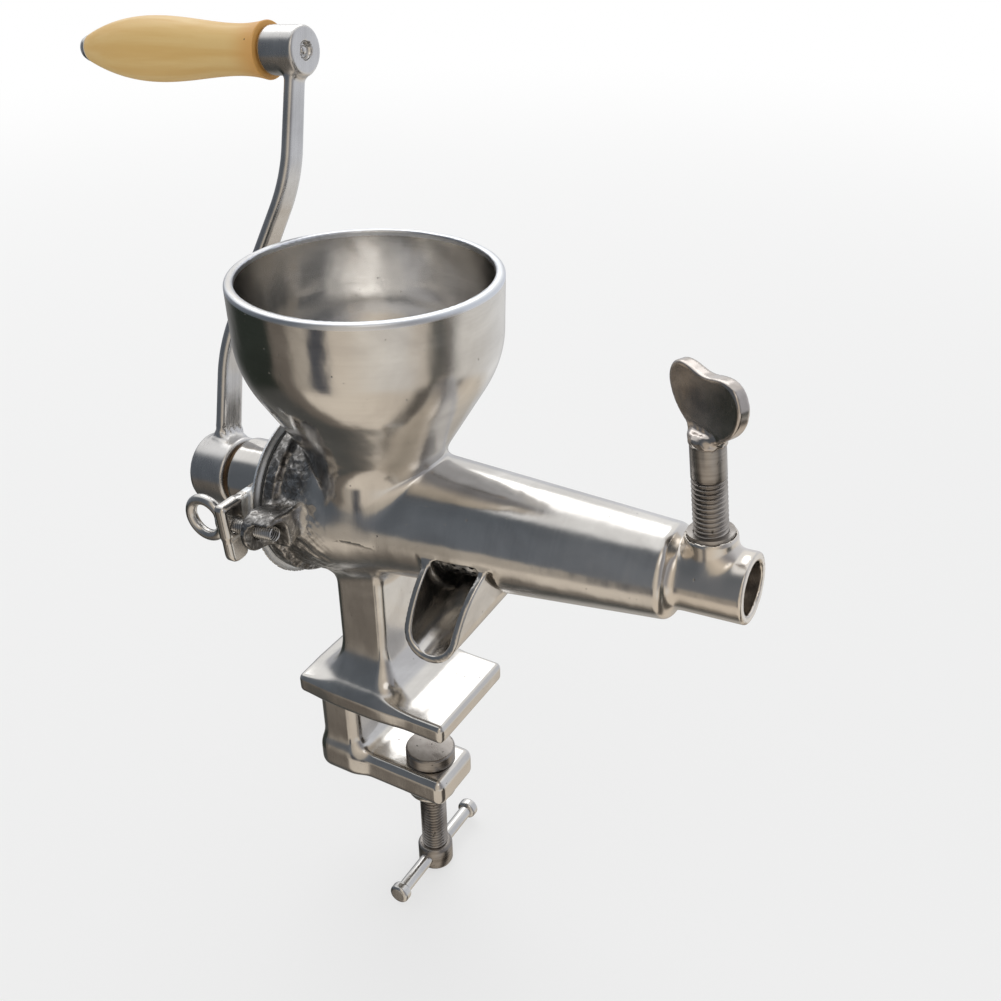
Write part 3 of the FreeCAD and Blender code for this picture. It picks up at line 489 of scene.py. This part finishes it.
def skinned(name, field, box, step, place, body, material):
    """Piece whose surface is a field's, with its exact normals."""
    points, quads = net(field, *box, step)
    for _ in range(2):
        points = drawn_onto(field, relaxed(points, quads), 2)
    normals = gradient(field, points)
    normals /= np.linalg.norm(normals, axis=1)[:, None]
    mesh = bpy.data.meshes.new(name)
    mesh.from_pydata((points * MM).tolist(), [], quads.tolist())
    mesh.polygons.foreach_set("use_smooth", np.ones(len(mesh.polygons), bool))
    mesh.update()
    mesh.normals_split_custom_set_from_vertices(normals.tolist())
    return placed(name, mesh, place, body, material)


def meshed(name, points, faces, place, body, material):
    """Piece from its points in millimetres, smooth but for its corners."""
    mesh = bpy.data.meshes.new(name)
    mesh.from_pydata([Vector(p) * MM for p in points], [], faces)
    mesh.polygons.foreach_set("use_smooth", np.ones(len(mesh.polygons), bool))
    mesh.set_sharp_from_angle(angle=math.radians(40))
    mesh.update()
    return placed(name, mesh, place, body, material)


def turned(name, outline, place, body, material, segments=96, axis="X"):
    """Piece turned from an outline of (along, radius), closed between its ends."""
    rows = len(outline)
    angles = np.arange(segments) * 2 * math.pi / segments
    points = [(a, r * math.cos(t), r * math.sin(t)) for a, r in outline for t in angles]
    if axis == "Z":
        points = [(y, z, x) for x, y, z in points]
    faces = []
    for i in range(rows):
        for j in range(segments):
            k, nxt = (j + 1) % segments, (i + 1) % rows
            faces.append((i * segments + j, i * segments + k, nxt * segments + k, nxt * segments + j))
    return meshed(name, points, faces, place, body, material)


def threaded(name, low, high, root, crest, pitch, place, body, material, axis="X"):
    """Threaded bar whose rows of points follow the helix."""
    steps, segments = 8, 48
    rows = int(math.ceil((high - low) / pitch) + 1) * steps
    points = []
    for k in range(rows + 1):
        share = min(max(1.7 * (1 - abs(2 * (k % steps) / steps - 1)) - 0.35, 0), 1)
        radius = root + (crest - root) * share
        for j in range(segments):
            along = low + (k / steps + j / segments - 1) * pitch
            turn = 2 * math.pi * j / segments
            points.append((min(max(along, low), high), radius * math.cos(turn), radius * math.sin(turn)))
    faces = []
    for k in range(rows):
        for j in range(segments):
            here, over = k * segments + j, (k + 1) * segments + j
            ring = [here, here + 1, over + 1, over]
            if j == segments - 1:
                ring[1], ring[2] = (k + steps) * segments, (k + steps + 1) * segments
            if ring[2] < len(points) and any(low < points[i][0] < high for i in ring):
                faces.append(ring)
    if axis == "Z":
        points = [(y, z, x) for x, y, z in points]
    return meshed(name, points, faces, place, body, material)


# Materials
def add(tree, kind, sockets=(), **settings):
    """Shader node with its settings, and its sockets set or linked."""
    node = tree.nodes.new("ShaderNode" + kind)
    for key, value in settings.items():
        setattr(node, key, value)
    for key, value in dict(sockets).items():
        if isinstance(value, bpy.types.NodeSocket):
            tree.links.new(value, node.inputs[key])
        else:
            node.inputs[key].default_value = value
    return node


def noise(tree, place, stretch, detail=3.0, distortion=0.0):
    """Noise whose stretch is in cells a metre along each axis."""
    spread = add(tree, "Mapping", {"Vector": place, "Scale": stretch})
    sockets = {"Vector": spread.outputs[0], "Scale": 1.0, "Detail": detail, "Distortion": distortion}
    return add(tree, "TexNoise", sockets).outputs[0]


def between(tree, value, low, high, out_low=0.0, out_high=1.0):
    """Value carried smoothly from one range into another."""
    sockets = {0: value, 1: low, 2: high, 3: out_low, 4: out_high}
    return add(tree, "MapRange", sockets, interpolation_type="SMOOTHSTEP").outputs[0]


def mixed(tree, share, a, b):
    """Colour a share of the way from a to b."""
    return add(tree, "Mix", {0: share, 6: a, 7: b}, data_type="RGBA").outputs[2]


def drawn_to(tree, share, a, b):
    """Number a share of the way from a to b."""
    return add(tree, "Mix", {0: share, 2: a, 3: b}).outputs[0]


def product(tree, a, b):
    return add(tree, "Math", {0: a, 1: b}, operation="MULTIPLY").outputs[0]


def sum_of(tree, a, b, factor):
    """a plus b times a factor."""
    return add(tree, "Math", {0: b, 1: factor, 2: a}, operation="MULTIPLY_ADD").outputs[0]


def bumped(tree, height, distance, normal=None):
    """Normal tilted by a height of some millimetres, on top of another normal."""
    sockets = {"Height": height, "Distance": distance * MM, "Strength": 1.0}
    if normal is not None:
        sockets["Normal"] = normal
    return add(tree, "Bump", sockets).outputs[0]


def new_material(name):
    """Empty material with its shader, and the place on the object in metres."""
    material = bpy.data.materials.new(name)
    material.use_nodes = True
    tree = material.node_tree
    tree.nodes.clear()
    shader = add(tree, "BsdfPrincipled")
    add(tree, "OutputMaterial", {"Surface": shader.outputs[0]})
    return material, tree, shader, add(tree, "TexCoord").outputs["Object"]


def steel(name, dark, light, rough, scratch, scratch_depth, wobble_depth, pit_depth=0.0):
    """Worked steel: cloudy tone, scratches along one direction, a wavy surface and pits."""
    material, tree, shader, place = new_material(name)
    cloud = noise(tree, place, (38, 38, 38), 4.0, 0.6)
    fine = noise(tree, place, (420, 420, 420), 3.0)
    lines = noise(tree, place, scratch, 4.0)
    tone = sum_of(tree, cloud, lines, 0.35)
    color = mixed(tree, between(tree, tone, 0.42, 0.95), (*dark, 1), (*light, 1))
    shine = sum_of(tree, between(tree, cloud, 0.3, 0.7, rough[0], rough[1]), lines, 0.10)
    height = sum_of(tree, lines, fine, 0.5)
    normal = bumped(tree, noise(tree, place, (75, 75, 75), 2.0), wobble_depth)
    normal = bumped(tree, height, scratch_depth, normal)
    if pit_depth:
        pits = between(tree, noise(tree, place, (520, 520, 520), 1.0), 0.70, 0.78)
        normal = bumped(tree, pits, -pit_depth, normal)
        color = mixed(tree, sum_of(tree, 0.0, pits, 0.7), color, (0.06, 0.055, 0.05, 1))
    tree.links.new(color, shader.inputs["Base Color"])
    tree.links.new(shine, shader.inputs["Roughness"])
    tree.links.new(normal, shader.inputs["Normal"])
    shader.inputs["Metallic"].default_value = 1.0
    return material


def polished_casting(name, has_raw_zone):
    """Belt polished casting: scratches run round its bodies. It is raw round the rear flange."""
    material, tree, shader, place = new_material(name)
    spot = add(tree, "SeparateXYZ", {0: place})
    along, height = spot.outputs[0], spot.outputs[2]
    raw_share = 1.0 if has_raw_zone else 0.0
    upper = between(tree, height, 0.026, 0.034)
    round_hopper = noise(tree, place, (14, 14, 1500), 4.0)
    round_barrel = noise(tree, place, (1300, 12, 30), 4.0)
    lines = drawn_to(tree, upper, round_barrel, round_hopper)
    cloud = noise(tree, place, (30, 30, 42), 4.0, 0.8)
    patch = noise(tree, place, (9, 9, 14), 2.0, 0.5)
    tone = sum_of(tree, cloud, lines, 0.12)
    color = mixed(tree, between(tree, tone, 0.35, 0.80), (0.58, 0.56, 0.535, 1), (0.74, 0.72, 0.69, 1))
    shine = sum_of(tree, between(tree, patch, 0.35, 0.65, 0.12, 0.21), lines, 0.05)
    waves = bumped(tree, noise(tree, place, (52, 52, 40), 2.0), 0.45)
    dents = bumped(tree, noise(tree, place, (170, 170, 120), 2.0), 0.05, waves)
    scratches = bumped(tree, lines, 0.006, dents)
    # Painted reflection: the nozzle gets a warmer beige colour that stands in for the worktop it mirrors, and
    # is duller. The lip is ground flat
    front = between(tree, along, 0.122, 0.126, 0.0, raw_share)
    color = mixed(tree, front, color, (0.72, 0.675, 0.62, 1))
    shine = drawn_to(tree, front, shine, 0.22)
    # Painted reflection: the lip's light bluish colour stands in for the sky mirrored in its flat top
    lip = between(tree, height, 0.0942, 0.0950, 0.0, raw_share)
    color = mixed(tree, lip, color, (0.72, 0.74, 0.77, 1))
    shine = drawn_to(tree, lip, shine, 0.34)
    pits = between(tree, noise(tree, place, (640, 640, 640), 1.0), 0.77, 0.82)
    pitted = bumped(tree, pits, -0.12, scratches)
    color = mixed(tree, sum_of(tree, 0.0, pits, 0.6), color, (0.08, 0.07, 0.06, 1))
    # The zone left as cast
    behind = between(tree, along, -0.012, -0.020, 0.0, raw_share)
    under_skirt = between(tree, height, 0.034, 0.026)
    over_column = between(tree, height, -0.040, -0.034)
    raw = product(tree, product(tree, behind, under_skirt), over_column)
    grit = noise(tree, place, (420, 420, 420), 5.0, 0.8)
    sand = mixed(tree, between(tree, grit, 0.4, 0.7), (0.15, 0.145, 0.14, 1), (0.46, 0.45, 0.44, 1))
    color = mixed(tree, raw, color, sand)
    shine = drawn_to(tree, raw, shine, between(tree, grit, 0.35, 0.65, 0.42, 0.26))
    pitted = bumped(tree, sum_of(tree, 0.0, grit, raw), 0.22, pitted)
    if not has_raw_zone:
        # Painted highlight: the disc's edge is satin, and its pale blue-white colour paints a bright highlight
        # band on it
        off_axis = add(tree, "VectorMath", {0: place, 1: (0, 1, 1)}, operation="MULTIPLY").outputs[0]
        out = add(tree, "VectorMath", {0: off_axis}, operation="LENGTH").outputs["Value"]
        satin_and_painted_highlight = product(tree, between(tree, out, 0.0312, 0.0322), between(tree, out, 0.0352, 0.0342))
        color = mixed(tree, satin_and_painted_highlight, color, (0.90, 0.93, 0.96, 1))
        shine = drawn_to(tree, satin_and_painted_highlight, shine, 0.48)
    tree.links.new(color, shader.inputs["Base Color"])
    tree.links.new(shine, shader.inputs["Roughness"])
    tree.links.new(pitted, shader.inputs["Normal"])
    shader.inputs["Metallic"].default_value = 1.0
    return material


def turned_wood():
    """Light oiled wood: soft lengthwise grain, a warmer collar end and a few dark specks."""
    material, tree, shader, place = new_material("turned_wood")
    grain = noise(tree, place, (9, 210, 210), 4.0, 0.1)
    streak = noise(tree, place, (4, 70, 70), 2.0, 0.1)
    along = add(tree, "SeparateXYZ", {0: place}).outputs[0]
    color = mixed(tree, between(tree, grain, 0.35, 0.68), (0.93, 0.64, 0.26, 1), (0.86, 0.55, 0.19, 1))
    color = mixed(tree, between(tree, streak, 0.45, 0.75, 0.0, 0.35), color, (0.80, 0.47, 0.14, 1))
    color = mixed(tree, between(tree, along, -0.080, -0.064, 0.0, 0.65), color, (0.80, 0.36, 0.07, 1))
    flecks = add(tree, "TexVoronoi", {"Vector": place, "Scale": 75.0, "Randomness": 1.0}).outputs[0]
    color = mixed(tree, between(tree, flecks, 0.045, 0.02), color, (0.16, 0.08, 0.03, 1))
    tree.links.new(color, shader.inputs["Base Color"])
    tree.links.new(between(tree, grain, 0.3, 0.7, 0.36, 0.5), shader.inputs["Roughness"])
    tree.links.new(bumped(tree, grain, 0.05), shader.inputs["Normal"])
    return material


def grainy(name, dark, light, rough, depth, metallic):
    """Bronze or rubber with a fine uneven surface."""
    material, tree, shader, place = new_material(name)
    grain = noise(tree, place, (600, 600, 600), 4.0)
    tree.links.new(mixed(tree, grain, (*dark, 1), (*light, 1)), shader.inputs["Base Color"])
    tree.links.new(between(tree, grain, 0.3, 0.7, rough - 0.06, rough + 0.06), shader.inputs["Roughness"])
    tree.links.new(bumped(tree, grain, depth), shader.inputs["Normal"])
    shader.inputs["Metallic"].default_value = metallic
    return material


casting = polished_casting("polished_casting", True)
ground_cover = polished_casting("ground_cover", False)
rough_steel = steel("raw_casting", dark=(0.40, 0.36, 0.33), light=(0.62, 0.58, 0.55), rough=(0.10, 0.18),
                    scratch=(200, 200, 200), scratch_depth=0.006, wobble_depth=0.25)
plate_steel = steel("brushed_plate", dark=(0.50, 0.49, 0.48), light=(0.68, 0.67, 0.66), rough=(0.15, 0.26),
                    scratch=(1500, 900, 20), scratch_depth=0.007, wobble_depth=0.2)
ring_steel = steel("turned_steel", dark=(0.54, 0.53, 0.52), light=(0.72, 0.71, 0.69), rough=(0.13, 0.22),
                   scratch=(1400, 40, 40), scratch_depth=0.006, wobble_depth=0.15)
post_steel = steel("turned_post", dark=(0.21, 0.19, 0.175), light=(0.50, 0.475, 0.45), rough=(0.20, 0.34),
                   scratch=(60, 60, 1200), scratch_depth=0.007, wobble_depth=0.3, pit_depth=0.08)
wood = turned_wood()
# Painted shade: the bronze is darkened to dark brown to stand in for the shade in the groove between the crank
# hub and the cover's boss
bronze = grainy("bronze", (0.10, 0.065, 0.04), (0.17, 0.115, 0.07), 0.38, 0.03, 1.0)
rubber = grainy("black_rubber", (0.02, 0.02, 0.02), (0.05, 0.05, 0.05), 0.55, 0.05, 0.0)

# Castings
body_casting = skinned("body_casting", casting_field, casting_box, casting_step,
                       UPRIGHT, "root", casting)
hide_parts("hopper", "barrel", "pulp_nozzle", "juice_spout", "clamp_frame", "cover_lugs")
cover = skinned("cover_casting", cover_field, cover_box, cover_step,
                ON_BARREL, "root", ground_cover)
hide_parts("rear_cover")
crank = skinned("crank_weldment", crank_field, crank_box, crank_step,
                ON_CRANK, "crank", plate_steel)
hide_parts("crank_hub", "crank_arm", "handle_boss")
wing = skinned("wing_casting", wing_field, wing_box, wing_step,
               ON_SCREW, "pressure_screw", rough_steel)
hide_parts("pressure_wing")

# Eye screws
for side, node in ((-1, "eye_screw_near"), (1, "eye_screw_far")):
    on_eye = ON_BARREL @ Matrix.Translation((0, side * eye_y * MM, eye_z * MM))
    ring = skinned(node + "_ring", eye_ring_field, eye_box, eye_step,
                   on_eye, node, ring_steel)
    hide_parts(node)
    threaded(node + "_thread", eye_ring_x + eye_ring_radius + 3.0, eye_screw_end, eye_screw_radius - 0.5,
             eye_screw_radius, 1.0, on_eye, node, ring_steel)

# Pressure screw
screw_thread = threaded("pressure_screw_thread", screw_foot, screw_thread_top, screw_radius - 0.75,
                        screw_radius, screw_pitch, ON_SCREW, "pressure_screw", post_steel,
                        axis="Z")
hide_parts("pressure_screw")
shank_bottom, shank_top = screw_thread_top - 0.8, screw_top + 1.0
shank_line = [(shank_bottom, 0.1), (shank_bottom, screw_radius - 0.5), (screw_thread_top + 0.4, screw_radius),
              (shank_top, screw_radius), (shank_top, 0.1)]
turned("pressure_screw_shank", shank_line, ON_SCREW, "pressure_screw", post_steel, axis="Z")

# Grip, its pin and its cap nut
at_grip = ON_CRANK @ Matrix.Translation((0, 0, arm_throw * MM))
grip_end = grip_front - grip_length
grip_bore = pin_radius + 0.3
grip_swell = np.polynomial.Polynomial.fit([a for a, r in grip_stations], [r for a, r in grip_stations], 4)
grip_line = [(grip_front, grip_bore), (grip_front, grip_stations[0][1] - 0.4)]
grip_line += [(grip_front - a, grip_swell(a)) for a in np.linspace(0.4, grip_length - 0.4, 90)]
grip_line += [(grip_end, grip_stations[-1][1] - 0.5), (grip_end, grip_bore)]
grip = turned("turned_grip", grip_line, at_grip, "grip", wood)
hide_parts("wood_grip")

pin_front = handle_front - 0.3
pin_line = [(pin_front - 0.1, 0.05), (pin_front - 0.25, 0.9), (pin_front - 0.7, 1.6), (pin_front - 1.4, 1.9),
            (pin_front - 1.4, 2.4), (pin_front - 0.2, 2.9), (pin_front, 3.1),
            (pin_front - 0.3, pin_radius - 0.1), (grip_end, pin_radius - 0.1), (grip_end, 0.05)]
pin = turned("turned_pin", pin_line, at_grip, "crank", ring_steel)
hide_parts("grip_pin")

nut_front = grip_end - 0.1
nut_line = [(nut_front, 0.1), (nut_front, nut_radius - 0.3), (nut_front - 0.4, nut_radius),
            (nut_front - 1.8, nut_radius - 0.3), (nut_front - 3.3, nut_radius - 1.0), (nut_front - 4.2, 3.2),
            (nut_front - nut_length, 1.6), (nut_front - nut_length, 0.1)]
nut = turned("cap_nut", nut_line, at_grip, "crank", ring_steel)
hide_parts("grip_cap_nut")

# Clamp screw
on_clamp = Matrix.Translation((clamp_x * MM, 0, 0))
clamp_thread = threaded("clamp_screw_thread", clamp_thread_low, clamp_thread_high, clamp_screw_radius - 0.8,
                        clamp_screw_radius, screw_pitch, on_clamp, "clamp_screw", post_steel,
                        axis="Z")
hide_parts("clamp_screw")
head_edge = [(0, clamp_head_radius - 1.5), (0.5, clamp_head_radius - 0.5), (1.5, clamp_head_radius)]
head_line = [(clamp_head_bottom, 0.1)] + [(clamp_head_bottom + a, r) for a, r in head_edge]
head_line += [(clamp_thread_low - a, r) for a, r in reversed(head_edge)] + [(clamp_thread_low, 0.1)]
turned("clamp_screw_head", head_line, on_clamp, "clamp_screw", post_steel, axis="Z")

# Pieces kept from the model, with their finishes
finishes = {
    "screw_boss_ring": post_steel, "strainer": ring_steel, "auger": ring_steel,
    "hub_screw": ring_steel, "pressure_plug": post_steel, "swivel_pad": post_steel, "tommy_bar": ring_steel,
    "bar_knobs": ring_steel, "bearing_bush": bronze, "thrust_washer": bronze, "shaft_seal": rubber,
    "cover_gasket": rubber,
}
for node, finish in finishes.items():
    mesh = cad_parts[node].data
    mesh.materials.clear()
    mesh.materials.append(finish)

# Floor, just under the clamp screw's head
floor_z = clamp_head_bottom - 0.5
floor_side = 16.0            # metres
floor_place = (0, 0, floor_z * MM)
bpy.ops.mesh.primitive_grid_add(x_subdivisions=8, y_subdivisions=8, size=floor_side, location=floor_place)
floor = bpy.context.object
floor.name = "studio_floor"
paint, tree, shader, place = new_material("pale_floor")
shader.inputs["Base Color"].default_value = (0.86, 0.855, 0.845, 1)
shader.inputs["Roughness"].default_value = 0.9
away = add(tree, "VectorMath", {0: place}, operation="LENGTH").outputs["Value"]
seen = add(tree, "LightPath").outputs["Is Camera Ray"]
lift = product(tree, between(tree, away, 0.4, 2.0, 0.62, 1.0), seen)
glow = add(tree, "Emission", {"Color": (1, 1, 1, 1), "Strength": 1.0})
blend = add(tree, "MixShader", {0: lift, 1: shader.outputs[0], 2: glow.outputs[0]})
tree.links.new(blend.outputs[0], tree.nodes["Material Output"].inputs["Surface"])
floor.data.materials.append(paint)
floor.visible_glossy = False

# Studio: white for the camera, soft bands for the metal to mirror
world = bpy.data.worlds.new("studio")
bpy.context.scene.world = world
world.use_nodes = True
tree = world.node_tree
tree.nodes.clear()
aim = add(tree, "SeparateXYZ", {0: add(tree, "TexCoord").outputs["Generated"]})
east, north, up = aim.outputs[0], aim.outputs[1], aim.outputs[2]
bearing = add(tree, "Math", {0: north, 1: east}, operation="ARCTAN2").outputs[0]
share = add(tree, "MapRange", {0: bearing, 1: -math.pi, 2: math.pi, 3: 0.0, 4: 1.0}).outputs[0]


def bands(stops):
    """Colour by compass bearing, given as (degrees anticlockwise from +X, colour)."""
    node = add(tree, "ValToRGB", {0: share})
    node.color_ramp.interpolation = "EASE"
    for i, (degrees, color) in enumerate(stops):
        at = (degrees + 180) / 360
        stop = node.color_ramp.elements[i] if i < 2 else node.color_ramp.elements.new(at)
        stop.position = at
        stop.color = (*color, 1)
    return node.outputs[0]


beige, gloom, slate = (0.76, 0.68, 0.58), (0.03, 0.036, 0.03), (0.17, 0.185, 0.21)
shade, dusk, pale = (0.17, 0.148, 0.127), (0.07, 0.075, 0.09), (0.82, 0.79, 0.745)
murk, soot = (0.09, 0.09, 0.085), (0.10, 0.09, 0.08)
below = bands([(-180, gloom), (180, gloom), (-146, gloom), (-138, shade), (-126, shade),
               (-118, (0.42, 0.375, 0.32)), (-107, (0.50, 0.45, 0.385)), (-102, dusk), (-94, dusk),
               (-85, beige), (-30, pale), (-8, beige), (0, gloom), (14, gloom), (24, pale),
               (88, (0.86, 0.86, 0.86)), (140, (0.25, 0.25, 0.25))])
under = bands([(-180, murk), (180, murk), (-150, murk), (-136, shade), (-126, shade), (-114, beige),
               (-24, beige), (-10, soot), (30, soot), (44, beige), (120, (0.45, 0.43, 0.40))])
ahead = bands([(-180, slate), (180, slate), (-124, (0.115, 0.13, 0.15)), (-97, slate),
               (-88, (0.55, 0.495, 0.42)), (-60, beige), (-20, (0.30, 0.30, 0.32)), (30, (0.72, 0.74, 0.79)),
               (90, (0.80, 0.82, 0.87)), (150, (0.45, 0.46, 0.49))])
sides = mixed(tree, between(tree, up, -0.36, -0.26), below, ahead)
sides = mixed(tree, between(tree, up, -0.66, -0.54), under, sides)
tilt = sum_of(tree, sum_of(tree, up, north, 0.6), east, -0.47)
studio = mixed(tree, between(tree, tilt, 0.68, 0.90), sides, (1, 1, 1, 1))
rays = add(tree, "LightPath").outputs
glossy, sent_through = rays["Is Glossy Ray"], rays["Is Transmission Ray"]
mirrored = add(tree, "Math", {0: glossy, 1: sent_through}, operation="MAXIMUM").outputs[0]
color = mixed(tree, mirrored, (1, 1, 1, 1), studio)
shown = add(tree, "Math", {0: mirrored, 1: rays["Is Camera Ray"]}, operation="MAXIMUM").outputs[0]
scenery = add(tree, "Background", {"Color": color, "Strength": 1.0})
daylight = add(tree, "Background", {"Color": (0.97, 0.985, 1.0, 1), "Strength": 0.62})
mixer = add(tree, "MixShader", {0: shown, 1: daylight.outputs[0], 2: scenery.outputs[0]})
add(tree, "OutputWorld", {"Surface": mixer.outputs[0]})


def soft_light(name, place, aim_at, size, brightness):
    """Oval lamp whose face has a given brightness, 1 being white."""
    lamp = bpy.data.lights.new(name, "AREA")
    lamp.shape = "ELLIPSE"
    lamp.size, lamp.size_y = size
    lamp.energy = brightness * math.pi * size[0] * size[1] * math.pi / 4
    holder = bpy.data.objects.new(name, lamp)
    bpy.context.scene.collection.objects.link(holder)
    holder.location = place
    holder.rotation_euler = (Vector(aim_at) - Vector(place)).to_track_quat("-Z", "Y").to_euler()


soft_light("overhead", (-0.53, 0.62, 1.04), (0.05, 0, 0.09), (1.15, 1.0), 1.25)
soft_light("window", (0.9, -1.0, 1.5), (0, 0, 0.1), (0.8, 0.8), 0.7)

# Camera
sin_yaw, cos_yaw = math.sin(camera_yaw), math.cos(camera_yaw)
sin_pitch, cos_pitch = math.sin(camera_pitch), math.cos(camera_pitch)
forward = Vector((sin_yaw * cos_pitch, cos_yaw * cos_pitch, -sin_pitch))
level_right = forward.cross(Vector((0, 0, 1))).normalized()
level_down = forward.cross(level_right)
right = level_right * math.cos(camera_roll) + level_down * math.sin(camera_roll)
down = level_down * math.cos(camera_roll) - level_right * math.sin(camera_roll)
lens = bpy.data.cameras.new("camera")
lens.sensor_width = sensor_width
lens.lens = camera_focal * sensor_width / PICTURE
lens.clip_start = 0.01
camera = bpy.data.objects.new("camera", lens)
bpy.context.scene.collection.objects.link(camera)
turn = Matrix((right, -down, -forward)).transposed().to_4x4()
camera.matrix_world = Matrix.Translation(Vector(camera_place) * MM) @ turn
bpy.context.scene.camera = camera
bpy.context.scene.view_settings.view_transform = "Standard"
